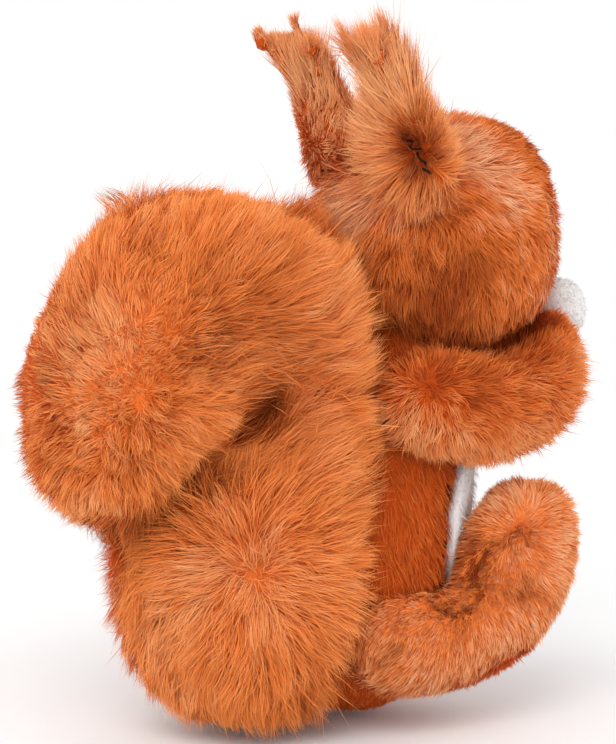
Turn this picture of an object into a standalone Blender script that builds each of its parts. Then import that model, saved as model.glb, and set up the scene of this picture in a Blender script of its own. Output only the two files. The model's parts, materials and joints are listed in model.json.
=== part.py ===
# Seated plush squirrel with a long-pile curled tail. Metres, +Z up, the face looks along -Y.
import math

import bmesh
import bpy
from mathutils import Matrix, Vector

# Driving dimensions in metres
BODY_HEIGHT = 0.118       # floor to the top ring of the torso
BODY_HALF_WIDTH = 0.037
BODY_HALF_DEPTH = 0.033
BODY_LEAN = 0.022         # shoulders sit this far in front of the seat
PANEL_HALF_WIDTH = 0.056  # pale front panel, round to the sides
PANEL_THICK = 0.005
HEAD_HALF_WIDTH = 0.038
HEAD_HALF_HEIGHT = 0.036
HEAD_HALF_DEPTH = 0.037
HEAD_RISE = 0.033         # head centre above the torso top
MUZZLE_RADIUS = 0.014
EYE_RADIUS = 0.0046
NOSE_RADIUS = 0.0042
EAR_LENGTH = 0.047
EAR_HALF_WIDTH = 0.0195
ARM_RADIUS = 0.0188
PAW_RADIUS = 0.0134
ARM_REACH = 0.0575        # shoulder to paw, along Y
BALL_RADIUS = 0.0112
LEG_RADIUS = 0.0205       # thigh; the foot is 0.74 of it
LEG_REACH = 0.0545        # hip to foot, along Y
FOOT_RISE = 0.062         # height of the toe centre
TAIL_HALF_WIDTH = 0.044   # lower lobe, side to side
TAIL_HALF_DEPTH = 0.0445   # lower lobe, front to back
TAIL_TOP = 0.1475         # centre height of the arch
TAIL_SWEEP = 0.057        # column centre to curl centre
LOCK_DEPTH = 0.0065       # fur locks on the tail
LOCK_LENGTH = 0.026
SEAM_GAP = 0.00034        # clear gap between neighbouring pieces

ROWS = 3                  # rings in each rounded end


def clear_scene():
    for obj in list(bpy.data.objects):
        bpy.data.objects.remove(obj, do_unlink=True)


def make_collection(name):
    col = bpy.data.collections.new(name)
    bpy.context.scene.collection.children.link(col)
    return col


def material(name, rgb, rough):
    mat = bpy.data.materials.new(name)
    mat.use_nodes = True
    shader = mat.node_tree.nodes["Principled BSDF"]
    shader.inputs["Base Color"].default_value = (rgb[0], rgb[1], rgb[2], 1.0)
    shader.inputs["Roughness"].default_value = rough
    mat.diffuse_color = (rgb[0], rgb[1], rgb[2], 1.0)
    return mat


def spline(a, b, c, d, t):
    return [0.5 * (2 * b[i] + (c[i] - a[i]) * t + (2 * a[i] - 5 * b[i] + 4 * c[i] - d[i]) * t * t
                   + (3 * b[i] - a[i] - 3 * c[i] + d[i]) * t * t * t) for i in range(len(b))]


def resample(stations, count):
    # Even spacing along the path, sizes carried with the centres
    pts = [stations[0]] + list(stations) + [stations[-1]]
    fine = []
    for k in range(1, len(pts) - 2):
        for j in range(16):
            fine.append(spline(pts[k - 1], pts[k], pts[k + 1], pts[k + 2], j / 16.0))
    fine.append(list(stations[-1]))
    run = [0.0]
    for p, q in zip(fine, fine[1:]):
        run.append(run[-1] + (Vector(q[:3]) - Vector(p[:3])).length)
    out, k = [], 0
    for i in range(count):
        goal = run[-1] * i / (count - 1)
        while k < len(run) - 2 and run[k + 1] < goal:
            k += 1
        f = (goal - run[k]) / max(1e-9, run[k + 1] - run[k])
        out.append([p + (q - p) * f for p, q in zip(fine[k], fine[k + 1])])
    return out


def lock_relief(along, around, turn):
    # Staggered fur locks: each swells to a rounded tip, then drops to the root of the next
    along += 0.18 * math.sin(3 * turn + 1.3 * math.floor(around))
    row = math.floor(along)
    edge = abs(2 * ((around + 0.5 * (row % 2)) % 1.0) - 1)
    if along - row > 1 - 0.4 * edge * edge:
        row += 1
        edge = abs(2 * ((around + 0.5 * (row % 2)) % 1.0) - 1)
    rise = min(1.0, max(0.0, (along - row + 0.2) / 1.2))
    return rise - 0.85 - 0.3 * edge * edge


def cage(stations, segments, rings, grow=0.0, locks=None, boxy=1.0, caps=(1.0, 1.0)):
    # A UV sphere laid along a path: stations are x, y, z, half width, half depth
    path = resample(stations, rings - 2 * ROWS + 1)
    mid = [Vector(p[:3]) for p in path]
    stride = (mid[len(mid) // 2] - mid[len(mid) // 2 - 1]).length
    mesh = bmesh.new()
    bmesh.ops.create_uvsphere(mesh, u_segments=segments, v_segments=rings, radius=1.0)
    for vert in mesh.verts:
        polar = math.acos(max(-1.0, min(1.0, vert.co.z)))
        turn = math.atan2(vert.co.y, vert.co.x)
        row = int(round(polar * rings / math.pi))
        k = min(max(row - ROWS, 0), len(path) - 1)
        ahead = (mid[min(k + 1, len(mid) - 1)] - mid[max(k - 1, 0)]).normalized()
        side = (Vector((1, 0, 0)) - ahead * ahead.x).normalized()
        out = ahead.cross(side)
        wide, deep = path[k][3] + grow, path[k][4] + grow
        ring, push = 1.0, 0.0
        if row < ROWS:
            a = 0.5 * math.pi * row / ROWS
            ring, push = math.sin(a), -math.cos(a) * (min(wide, deep) * caps[0] + grow * (1 - caps[0]))
        elif row > rings - ROWS:
            a = 0.5 * math.pi * (rings - row) / ROWS
            ring, push = math.sin(a), math.cos(a) * (min(wide, deep) * caps[1] + grow * (1 - caps[1]))
        c, s = math.cos(turn), math.sin(turn)
        c = math.copysign(abs(c) ** boxy, c)
        s = math.copysign(abs(s) ** boxy, s)
        if locks and 1 < row < rings - 1:
            swell = lock_relief((k * stride + push) / locks[1], turn * locks[2] / (2 * math.pi), turn)
            wide, deep = wide + locks[0] * swell, deep + locks[0] * swell
        vert.co = mid[k] + ahead * push + side * (wide * c * ring) + out * (deep * s * ring)
    bmesh.ops.recalc_face_normals(mesh, faces=mesh.faces)
    return mesh


def add_object(name, mesh, col, mat=None, smooth=1):
    data = bpy.data.meshes.new(name)
    mesh.to_mesh(data)
    mesh.free()
    for poly in data.polygons:
        poly.use_smooth = True
    obj = bpy.data.objects.new(name, data)
    col.objects.link(obj)
    if mat:
        data.materials.append(mat)
    if smooth:
        sub = obj.modifiers.new("soften", "SUBSURF")
        sub.levels = smooth
        sub.render_levels = smooth
    if col.name == "cutters":
        obj.hide_render = True
        obj.display_type = "WIRE"
    return obj


def boolean(obj, other, kind="DIFFERENCE"):
    mod = obj.modifiers.new(kind.lower() + "_" + other.name, "BOOLEAN")
    mod.operation = kind
    mod.solver = "EXACT"
    mod.object = other


def flip(stations):
    return [(-p[0],) + tuple(p[1:]) for p in stations]


def blend(a, b, t):
    return a + (b - a) * t


# Where the pieces sit, worked out from the driving dimensions
W, D, H, L = BODY_HALF_WIDTH, BODY_HALF_DEPTH, BODY_HEIGHT, BODY_LEAN
TORSO = [(0, 0, 0.26 * H, W, D),
         (0, -0.16 * L, 0.42 * H, W, 1.03 * D),
         (0, -0.50 * L, 0.68 * H, 0.91 * W, 0.97 * D),
         (0, -0.75 * L, 0.88 * H, 0.76 * W, 0.80 * D),
         (0, -1.00 * L, H, 0.58 * W, 0.64 * D)]
FRONT = -1.10 * D
PANEL = [(0, FRONT, 0.15 * H, 0.55 * PANEL_HALF_WIDTH, 0.56 * D),
         (0, FRONT - 0.08 * L, 0.41 * H, PANEL_HALF_WIDTH, 1.12 * D),
         (0, FRONT - 0.40 * L, 0.66 * H, 0.84 * PANEL_HALF_WIDTH, 0.98 * D),
         (0, FRONT - 0.66 * L, 0.95 * H, 0.44 * PANEL_HALF_WIDTH, 0.56 * D)]

HEAD_AT = Vector((0, -1.4 * L, H + HEAD_RISE))
HW, HH, HD = HEAD_HALF_WIDTH, HEAD_HALF_HEIGHT, HEAD_HALF_DEPTH
HEAD = [(0, HEAD_AT.y + HD * fy, HEAD_AT.z + HH * fz, HW * fw, HH * fh) for fy, fz, fw, fh in (
    (0.66, 0.00, 0.76, 0.80), (0.38, 0.00, 0.95, 0.99), (0.00, -0.04, 1.02, 1.05),
    (-0.42, 0.00, 0.96, 1.03), (-0.78, 0.03, 0.77, 0.92))]
MUZZLE_AT = HEAD_AT + Vector((0, -0.81 * HD, -0.27 * HH))
MUZZLE = [(0, MUZZLE_AT.y + 0.30 * MUZZLE_RADIUS, MUZZLE_AT.z, MUZZLE_RADIUS, 0.86 * MUZZLE_RADIUS),
          (0, MUZZLE_AT.y - 0.12 * MUZZLE_RADIUS, MUZZLE_AT.z, 0.90 * MUZZLE_RADIUS, 0.76 * MUZZLE_RADIUS)]
NOSE_AT = MUZZLE_AT + Vector((0, -0.80 * MUZZLE_RADIUS, 0.33 * MUZZLE_RADIUS))
EYE_AT = HEAD_AT + Vector((-0.38 * HW, -0.88 * HD, 0.25 * HH))

EW, EL = EAR_HALF_WIDTH, EAR_LENGTH
EAR_AT = HEAD_AT + Vector((-0.50 * HW, 0.56 * HD, 0.56 * HH))
EAR = [(EAR_AT.x - 0.11 * EL * t, EAR_AT.y + 0.30 * EL * t, EAR_AT.z + 0.93 * EL * t, EW * fw, EW * fd)
       for t, fw, fd in ((0.0, 0.86, 0.56), (0.30, 1.04, 0.62), (0.62, 0.84, 0.50), (0.92, 0.34, 0.28))]
TUFTS = []
for fx, fy, t0, t1 in ((-0.30, 0.46, 0.40, 0.84), (0.60, 0.26, 0.36, 0.80)):
    lo = Vector(EAR[0][:3]) + Vector((-0.11, 0.30, 0.93)) * EL * t0
    hi = Vector(EAR[0][:3]) + Vector((-0.11, 0.30, 0.93)) * EL * t1 + Vector((fx, fy, 0)) * EW
    half = lo.lerp(hi, 0.5)
    TUFTS.append([(lo.x, lo.y, lo.z, 0.50 * EW, 0.42 * EW), (half.x, half.y, half.z, 0.40 * EW, 0.34 * EW),
                  (hi.x, hi.y, hi.z, 0.15 * EW, 0.15 * EW)])

SHOULDER = Vector((-0.80 * W, -0.36 * L, 0.87 * H))
PAW = Vector((-0.38 * W, SHOULDER.y - ARM_REACH, SHOULDER.z + 0.55 * ARM_RADIUS))
ARM = [(SHOULDER.x, SHOULDER.y, SHOULDER.z, 0.96 * ARM_RADIUS, 0.98 * ARM_RADIUS),
       (SHOULDER.x - 0.20 * ARM_RADIUS, SHOULDER.y - 0.36 * ARM_REACH, SHOULDER.z - 0.27 * ARM_RADIUS,
        0.96 * ARM_RADIUS, ARM_RADIUS),
       (SHOULDER.x + 0.14 * ARM_RADIUS, SHOULDER.y - 0.78 * ARM_REACH, SHOULDER.z - 0.12 * ARM_RADIUS,
        0.5 * (ARM_RADIUS + PAW_RADIUS), 0.52 * (ARM_RADIUS + PAW_RADIUS)),
       (PAW.x, PAW.y, PAW.z, PAW_RADIUS, PAW_RADIUS)]
BALL_AT = Vector((0, PAW.y - 0.66 * (PAW_RADIUS + BALL_RADIUS), PAW.z + 0.34 * (PAW_RADIUS + BALL_RADIUS)))

R = LEG_RADIUS
HIP = Vector((-0.80 * W, 0.10 * D, 1.45 * R))
LEG = [(HIP.x, HIP.y, HIP.z, 0.98 * R, 1.0 * R),
       (HIP.x - 0.26 * R, HIP.y - 0.36 * LEG_REACH, HIP.z, 0.84 * R, 0.91 * R),
       (HIP.x - 0.30 * R, HIP.y - 0.73 * LEG_REACH, blend(HIP.z, FOOT_RISE, 0.24), 0.78 * R, 0.88 * R),
       (HIP.x - 0.30 * R, HIP.y - 0.90 * LEG_REACH, blend(HIP.z, FOOT_RISE, 0.66), 0.72 * R, 0.76 * R),
       (HIP.x - 0.28 * R, HIP.y - 0.92 * LEG_REACH, FOOT_RISE, 0.66 * R, 0.70 * R)]
FOLD = [(HIP.x - 0.20 * R, HIP.y - 0.41 * LEG_REACH, blend(HIP.z, FOOT_RISE, 0.48), 0.43 * R, 0.42 * R),
        (HIP.x - 0.26 * R, HIP.y - 0.53 * LEG_REACH, blend(HIP.z, FOOT_RISE, 0.86), 0.53 * R, 0.52 * R),
        (HIP.x - 0.26 * R, HIP.y - 0.73 * LEG_REACH, blend(HIP.z, FOOT_RISE, 1.13), 0.59 * R, 0.59 * R)]

TW, TD, TT, TS = TAIL_HALF_WIDTH, TAIL_HALF_DEPTH, TAIL_TOP, TAIL_SWEEP
TY = 1.24 * D
BEND = 0.555 * TS         # the arch is half a circle of this radius
TAIL = [(0, TY, 0.98 * TD, TW, TD), (0, TY - 0.02 * TS, 0.40 * TT, TW, 0.96 * TD),
        (0, TY - 0.14 * TS, 0.55 * TT, 0.95 * TW, 0.56 * TS),
        (0, TY - 0.21 * TS, 0.68 * TT, 0.90 * TW, 0.44 * TS)]
for turn, fw, fd in ((180, 0.88, 0.43), (150, 0.88, 0.47), (120, 0.88, 0.50), (90, 0.88, 0.48),
                     (60, 0.88, 0.425), (30, 0.90, 0.395), (0, 0.93, 0.415)):
    a = math.radians(turn)
    TAIL.append((0, TY + 0.33 * TS + BEND * math.cos(a), TT - BEND + BEND * math.sin(a), TW * fw, TS * fd))
# The fur that closes the gap between column, curl and lower lobe, set in from the sides
WEB = [(0, TY + 0.30 * TS, TT - 0.50 * BEND, 0.76 * TW, 0.25 * TS), (0, TY + 0.44 * TS, 0.62 * TT, 0.73 * TW, 0.25 * TS),
       (0, TY + 0.58 * TS, 0.46 * TT, 0.66 * TW, 0.24 * TS)]
TAIL += [(0, TY + 0.91 * TS, 0.70 * TT, 0.91 * TW, 0.44 * TS), (0, TY + 0.96 * TS, 0.62 * TT, 0.76 * TW, 0.36 * TS)]


def build():
    clear_scene()
    parts = make_collection("plush_squirrel")
    cutters = make_collection("cutters")
    rust = material("rust_plush", (0.56, 0.20, 0.06), 0.9)
    deep_rust = material("deep_rust_plush", (0.46, 0.14, 0.04), 0.9)
    pile = material("tail_long_pile", (0.62, 0.24, 0.08), 0.9)
    white = material("white_plush", (0.88, 0.86, 0.84), 0.9)
    black = material("black_plastic", (0.012, 0.010, 0.010), 0.15)

    def ellipsoid(name, at, radii, col, mat=None, grow=0.0, sides=8, rows=5):
        mesh = bmesh.new()
        bmesh.ops.create_uvsphere(mesh, u_segments=sides, v_segments=rows, radius=1.0)
        for vert in mesh.verts:
            vert.co = Vector(at) + Vector([c * (r + grow) for c, r in zip(vert.co, radii)])
        return add_object(name, mesh, col, mat)

    gap = SEAM_GAP
    floor = bmesh.new()
    bmesh.ops.create_cube(floor, size=1.0)
    bmesh.ops.scale(floor, verts=floor.verts, vec=(0.6, 0.6, 0.1))
    bmesh.ops.translate(floor, verts=floor.verts, vec=(0, 0, -0.05))
    floor = add_object("floor_cut", floor, cutters, smooth=0)

    # Torso with its flat seat, and the pale panel let into its front
    def torso(name, col, mat=None, grow=0.0):
        return add_object(name, cage(TORSO, 12, 11, grow=grow), col, mat)

    def panel(name, col, mat=None, grow=0.0):
        return add_object(name, cage(PANEL, 8, 9, grow=grow, boxy=0.8, caps=(0.7, 0.75)), col, mat)

    torso_cut = torso("torso_cut", cutters, grow=gap)
    core = torso("torso_core", cutters, grow=-PANEL_THICK)
    deeper = torso("torso_core_deep", cutters, grow=-PANEL_THICK - gap)
    shell = torso("torso_shell", cutters)
    pocket = panel("panel_pocket", cutters, grow=gap)
    boolean(pocket, deeper)
    body = torso("body", parts, deep_rust)
    boolean(body, pocket)
    boolean(body, floor)
    belly = panel("belly_panel", parts, white)
    boolean(belly, shell, "INTERSECT")
    boolean(belly, core)
    boolean(belly, floor)

    # Head with its short muzzle, eyes and nose
    def head_form(name, col, mat=None, grow=0.0):
        obj = add_object(name, cage(HEAD, 12, 11, grow=grow, boxy=0.84, caps=(0.5, 0.20)), col, mat)
        snout = cutters.objects.get("muzzle" if not grow else "muzzle_cut")
        if snout is None:
            snout = add_object("muzzle" if not grow else "muzzle_cut",
                               cage(MUZZLE, 8, 7, grow=grow, caps=(0.7, 0.7)), cutters)
        boolean(obj, snout, "UNION")
        return obj

    head_cut = head_form("head_cut", cutters, grow=gap)
    head = head_form("head", parts, rust)
    boolean(head, torso_cut)
    nose = ellipsoid("nose", NOSE_AT, (NOSE_RADIUS, 0.8 * NOSE_RADIUS, 0.74 * NOSE_RADIUS), parts, black, rows=4)
    boolean(nose, head_cut)

    # Ball held at the mouth
    ball_cut = ellipsoid("ball_cut", BALL_AT, [BALL_RADIUS] * 3, cutters, grow=gap, sides=8, rows=5)
    ball = ellipsoid("held_ball", BALL_AT, [BALL_RADIUS] * 3, parts, white, sides=8, rows=5)
    boolean(ball, head_cut)

    arm_cuts, leg_cuts = [], []
    for side, name in ((1, "right"), (-1, "left")):
        def place(stations):
            return stations if side > 0 else flip(stations)

        eye_at = (EYE_AT.x * side, EYE_AT.y, EYE_AT.z)
        eye = ellipsoid("eye_" + name, eye_at, [EYE_RADIUS] * 3, parts, black, sides=8, rows=4)
        boolean(eye, head_cut)

        ear = add_object("ear_" + name, cage(place(EAR), 8, 8, caps=(0.7, 1.6)), parts, rust)
        for k, tuft in enumerate(TUFTS):
            lock = add_object("ear_tuft_%s_%d" % (name, k), cage(place(tuft), 6, 7, caps=(0.7, 2.2)), cutters, smooth=0)
            boolean(ear, lock, "UNION")
        boolean(ear, head_cut)

        arm_cuts.append(add_object("arm_cut_" + name, cage(place(ARM), 9, 9, grow=gap), cutters))
        arm = add_object("arm_" + name, cage(place(ARM), 9, 9), parts, deep_rust)
        middle = bmesh.new()
        bmesh.ops.create_cube(middle, size=1.0)
        bmesh.ops.scale(middle, verts=middle.verts, vec=(0.05, 0.3, 0.3))
        bmesh.ops.translate(middle, verts=middle.verts, vec=(side * (0.025 - 0.5 * gap), 0, 0.14))
        middle = add_object("middle_" + name, middle, cutters, smooth=0)
        for cut in (torso_cut, head_cut, ball_cut, middle):
            boolean(arm, cut)

        leg_cuts.append(add_object("leg_cut_" + name, cage(place(LEG), 9, 11, grow=gap), cutters))
        fold = add_object("foot_fold_" + name, cage(place(FOLD), 6, 8), cutters)
        leg = add_object("leg_" + name, cage(place(LEG), 9, 11), parts, rust)
        boolean(leg, fold, "UNION")
        for cut in (torso_cut, arm_cuts[-1], floor):
            boolean(leg, cut)

    # Curled tail of long pile, in staggered rows of locks
    tail = add_object("tail", cage(TAIL, 26, 41, locks=(LOCK_DEPTH, LOCK_LENGTH, 9)), parts, pile, smooth=0)
    web = add_object("tail_web", cage(WEB, 6, 8), cutters)
    boolean(tail, web, "UNION")
    for cut in [torso_cut, head_cut] + arm_cuts + leg_cuts + [floor]:
        boolean(tail, cut)

    # Put the middle of the bounding box over the origin
    bpy.context.view_layer.update()
    graph = bpy.context.evaluated_depsgraph_get()
    corners = []
    for obj in parts.objects:
        shape = obj.evaluated_get(graph).to_mesh()
        corners += [v.co.copy() for v in shape.vertices]
        obj.evaluated_get(graph).to_mesh_clear()
    shift = Vector([-0.5 * (min(c[i] for c in corners) + max(c[i] for c in corners)) for i in (0, 1)]
                   + [-min(c.z for c in corners)])
    for obj in list(parts.objects) + list(cutters.objects):
        obj.data.transform(Matrix.Translation(shift))
        obj.data.update()


build()
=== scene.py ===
"""Seated plush squirrel: sewn skins, long and short pile, bead eyes, stitches and the studio around them."""
import json
import math

import bmesh
import bpy
import numpy as np
from bpy.props import FloatProperty, FloatVectorProperty, IntProperty, PointerProperty
from mathutils import Matrix, Vector
from mathutils.bvhtree import BVHTree
from mathutils.kdtree import KDTree


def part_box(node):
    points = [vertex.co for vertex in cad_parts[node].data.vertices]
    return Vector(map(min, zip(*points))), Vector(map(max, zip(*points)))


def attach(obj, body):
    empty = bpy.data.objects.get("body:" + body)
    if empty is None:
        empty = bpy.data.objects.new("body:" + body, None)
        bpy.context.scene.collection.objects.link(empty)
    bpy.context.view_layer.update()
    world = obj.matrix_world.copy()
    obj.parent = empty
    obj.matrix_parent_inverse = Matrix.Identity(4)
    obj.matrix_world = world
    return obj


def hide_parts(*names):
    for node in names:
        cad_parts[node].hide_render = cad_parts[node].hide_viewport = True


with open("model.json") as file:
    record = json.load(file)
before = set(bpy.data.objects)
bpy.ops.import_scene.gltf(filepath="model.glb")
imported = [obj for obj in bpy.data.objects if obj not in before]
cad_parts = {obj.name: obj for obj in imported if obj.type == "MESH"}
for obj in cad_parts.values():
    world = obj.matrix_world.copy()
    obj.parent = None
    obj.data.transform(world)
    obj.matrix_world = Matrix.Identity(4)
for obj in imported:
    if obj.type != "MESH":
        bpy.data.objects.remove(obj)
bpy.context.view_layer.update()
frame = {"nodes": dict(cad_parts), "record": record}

bl_info = {
    "name": "Plush squirrel dresser",
    "version": (1, 0, 0),
    "blender": (4, 5, 0),
    "location": "View3D > Sidebar > Plush",
    "description": "Sews skins over the squirrel's solids and grows their pile",
    "category": "Object",
}

MM = 0.001
SEAT = Vector(next(m["pos_m"] for m in frame["record"]["mounts"] if m["name"] == "seat"))

# The photograph's frame and view
PHOTO_SIZE = (616, 744)
VIEW_TURN = math.radians(-125.0)
VIEW_RISE = math.radians(10.0)
VIEW_SCALE = 0.31 * MM          # metres to one pixel at the toy
VIEW_ANCHOR = (354.0, 718.0)    # pixel over the middle of the seat
LENS_DISTANCE = 1.25

TURNS = np.array((1, 1, 1)), np.array((-1, 1, 1))       # from the right side to itself and to the left
SIDES = tuple(zip(("right", "left"), TURNS))
LENGTH_SPREAD = (0.70, 1.10)    # shortest and longest strand over the length that is asked for
LOOSE_SHARE = 0.04              # strands that stand out of their lock
LOOSE_LENGTH, LOOSE_WILD, LOOSE_CLUMP = 1.3, 1.7, 0.3
STRAND_ROLL = 0.7               # most that a ribbon turns about its own length, in radians
SURFACE_SHARE = 0.32            # how far a strand is shaded as the surface under it
STAND_SHARE = 0.42              # height of a leaning strand over its length
ROOT_GAP, FLOOR_GAP = 0.0008, 0.0003        # lowest root and lowest strand over the floor, in metres
FILL_FRAMES = 20                # length of the cloth simulation
FULL_TONE = 1.3                 # patch value at which the deep or the pale colour is all there is

# Tone patches: pixel across and down in the photograph's frame, radius in millimetres and value,
# paler above 0 and deeper below it
# In the tail's patches the deeper ones along the crevice are painted shade, and the pale ones at the rear edge are
# painted light
TAIL_TONE_AND_SHADING = (
    (262, 415, 5, -2.2), (250, 427, 5, -2.2), (238, 440, 6, -1.6), (160, 505, 7, -1.3), (190, 486, 7, -1.0),
    (215, 300, 12, -0.20), (100, 440, 12, -0.20), (290, 430, 14, 0.25), (95, 528, 8, 0.7), (100, 315, 9, 0.55),
    (215, 560, 9, 0.35), (290, 600, 10, 0.35), (310, 300, 18, 0.15), (150, 620, 14, -0.2), (330, 680, 14, -0.2),
    (190, 290, 14, -0.1), (80, 400, 8, -0.15), (130, 200, 12, 0.3), (350, 330, 12, 0.2), (20, 370, 8, 0.6),
    (18, 405, 8, 0.6), (30, 325, 8, 0.5), (108, 570, 7, 0.6), (112, 620, 8, 0.6), (130, 680, 8, 0.4),
)
# In the head's patches the deeper ones at the ear's foot and low on the head, toward the neck and arms, are painted
# shade; the pale ones along the face's side edge are painted light
HEAD_TONE_AND_SHADING = (
    (508, 190, 7, 0.5), (500, 170, 5, 0.3), (458, 136, 7, 1.0), (470, 160, 5, 0.6), (440, 172, 4, -0.6),
    (412, 185, 6, -0.6), (350, 200, 7, 0.4), (522, 140, 9, -0.6), (500, 128, 5, -0.4), (535, 165, 6, -0.3),
    (533, 215, 5, -0.3), (455, 275, 9, -0.35), (410, 240, 9, -0.3), (430, 325, 12, -0.5), (480, 235, 8, 0.15),
    (400, 330, 10, -0.5), (500, 310, 8, 0.1), (370, 190, 9, 0.4), (557, 195, 6, 0.7), (558, 240, 6, 0.7),
    (550, 285, 6, 0.5), (478, 195, 4, -0.3), (472, 255, 6, -0.7), (520, 190, 5, 0.4), (400, 300, 10, -0.35),
    (450, 310, 9, -0.35),
)
# In the arm's patches the deeper ones at the paw's pit and the elbow's crook are painted shade
ARM_TONE_AND_SHADING = (
    (531, 326, 4.5, -1.8), (540, 318, 4, -0.8), (515, 345, 5, -0.8), (475, 385, 9, -0.5), (400, 345, 7, -0.9),
    (436, 378, 3.5, -0.9), (430, 440, 10, 0.75), (490, 452, 9, 0.7), (545, 435, 8, 0.5), (588, 380, 7, 0.7),
    (575, 330, 5, 0.4), (555, 360, 6, -0.3), (500, 410, 8, -0.3), (415, 410, 8, 0.2),
)
# In the leg's patches the deeper ones in the stitched dimples of the foot are painted shade
LEG_TONE_AND_SHADING = (
    (490, 560, 4, -1.1), (482, 575, 4, -1.0), (466, 606, 4, -0.9), (448, 603, 4, -0.6), (440, 592, 4, -0.5),
    (535, 588, 4, -0.7), (523, 592, 3, -0.5), (500, 600, 5, -0.15), (470, 530, 6, -0.3), (525, 538, 3, -0.5),
    (510, 500, 7, 0.5), (555, 560, 8, 0.35), (500, 640, 12, 0.5), (430, 670, 9, 0.35), (450, 630, 6, -0.35),
    (390, 660, 5, -0.5), (480, 590, 3.5, -0.9),
)


def at(x, y, z):
    """A place in millimetres from the middle of the seat."""
    return SEAT + Vector((x, y, z)) * MM


def tint(name, description, default):
    return FloatVectorProperty(name=name, description=description, subtype="COLOR", size=3, min=0, max=1,
                               default=default)


def measure(name, description, default, low, high):
    return FloatProperty(name=name, description=description, unit="LENGTH", default=default, min=low, max=high)


class PlushColours(bpy.types.PropertyGroup):
    root: tint("Root", "Pile close to the backing", (0.72, 0.160, 0.024))
    middle: tint("Middle", "Pile half way up", (0.82, 0.20, 0.035))
    tip: tint("Tip", "Ends of the strands", (0.89, 0.298, 0.072))
    deep: tint("Deep", "Matted and shaded pile", (0.33, 0.060, 0.008))
    # Besides the fuzz, the pale colour is painted light where it lifts the shaded edges of the head and tail
    pale: tint("Pale", "Fuzz at the ears and cheeks", (0.90, 0.50, 0.27))
    white: tint("White", "Belly and ball", (0.86, 0.84, 0.83))
    thread: tint("Thread", "Hand stitches and mouth", (0.02, 0.012, 0.01))
    bead: tint("Bead", "Eyes and nose", (0.012, 0.009, 0.008))


class PlushSizes(bpy.types.PropertyGroup):
    tail_pile: measure("Tail pile", "Strand length on the tail", 0.0200, 0.005, 0.05)
    ear_pile: measure("Ear pile", "Strand length on the ears", 0.0155, 0.003, 0.04)
    head_pile: measure("Head pile", "Strand length behind the face", 0.0120, 0.003, 0.03)
    limb_pile: measure("Arm pile", "Strand length on the arms", 0.0068, 0.002, 0.02)
    leg_pile: measure("Leg pile", "Strand length on the legs", 0.0042, 0.002, 0.02)
    body_pile: measure("Body pile", "Strand length on the torso", 0.0062, 0.002, 0.02)
    strand: measure("Strand", "Widest part of one strand", 0.00031, 0.0001, 0.002)
    density: FloatProperty(name="Density", description="Share of the strands that are grown",
                           subtype="FACTOR", default=1.0, min=0.02, max=1.0)
    seed: IntProperty(name="Seed", description="Start of the random draws", default=11, min=0)


class StudioSettings(bpy.types.PropertyGroup):
    floor: tint("Floor", "Floor colour", (0.93, 0.93, 0.93))
    key: FloatProperty(name="Key lamp", description="Power of the large soft lamp", subtype="POWER",
                       default=7.0, min=0, max=200)
    fill: FloatProperty(name="Sky", description="Strength of the even light from all sides",
                        default=0.88, min=0, max=2)


# Small helpers for objects and modifiers

def only(obj):
    bpy.ops.object.select_all(action="DESELECT")
    obj.select_set(True)
    bpy.context.view_layer.objects.active = obj


def apply_modifier(obj, kind, **values):
    only(obj)
    mod = obj.modifiers.new(kind.lower(), kind)
    for key, value in values.items():
        setattr(mod, key, value)
    bpy.ops.object.modifier_apply(modifier=mod.name)


def finish_piece(obj, slot, *nodes, padded=None):
    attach(obj, "root")
    if nodes:
        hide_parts(*nodes)
    return obj


def unit(v):
    return v / np.maximum(np.linalg.norm(v, axis=-1, keepdims=True), 1e-9)


def places_of(mesh, what="co"):
    out = np.empty(len(mesh.vertices) * 3)
    mesh.vertices.foreach_get(what, out)
    return out.reshape(-1, 3)


def set_places(mesh, co):
    mesh.vertices.foreach_set("co", np.ascontiguousarray(co).reshape(-1))
    mesh.update()


def tree_of(mesh):
    shape = bmesh.new()
    shape.from_mesh(mesh)
    tree = BVHTree.FromBMesh(shape)
    shape.free()
    return tree


def camera_axes():
    back = Vector((math.sin(VIEW_TURN) * math.cos(VIEW_RISE), -math.cos(VIEW_TURN) * math.cos(VIEW_RISE),
                   math.sin(VIEW_RISE)))
    right = Vector((math.cos(VIEW_TURN), math.sin(VIEW_TURN), 0))
    up = back.cross(right)
    s = (PHOTO_SIZE[0] / 2 - VIEW_ANCHOR[0]) * VIEW_SCALE
    t = (VIEW_ANCHOR[1] - PHOTO_SIZE[1] / 2) * VIEW_SCALE
    depth = (at(0, 20, 90) - SEAT).dot(back)
    return right, up, back, SEAT + right * s + up * t + back * (LENS_DISTANCE + depth)


SKINS, SKIN_TREES, SOLID_TREES = {}, {}, {}


def under(px, py, *nodes):
    """The place on the sewn skins that lies under a pixel of the photograph."""
    right, up, back, eye = camera_axes()
    step = VIEW_SCALE / LENS_DISTANCE
    ray = right * (px - PHOTO_SIZE[0] / 2) * step + up * (PHOTO_SIZE[1] / 2 - py) * step - back
    best = None
    for node in nodes:
        if node not in SOLID_TREES:
            SOLID_TREES[node] = tree_of(frame["nodes"][node].data)
        hit = SOLID_TREES[node].ray_cast(eye, ray.normalized())
        if hit[0] is not None and (best is None or hit[3] < best[1]):
            best = (hit[0], hit[3], node)
    if best is None:     # beside the outline: the spot that the line of sight passes nearest
        line = [eye + ray.normalized() * (LENS_DISTANCE + 0.004 * k) for k in range(-35, 36)]
        best = min(((tree.find_nearest(p)[0], tree.find_nearest(p)[3], node) for p in line
                    for node, tree in SOLID_TREES.items() if node in nodes), key=lambda hit: hit[1])
    skin = SKIN_TREES.get(best[2])
    return np.array(skin.find_nearest(best[0])[0] if skin else best[0])


def both(spot):
    return [np.array(spot) * turn for turn in TURNS]


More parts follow.
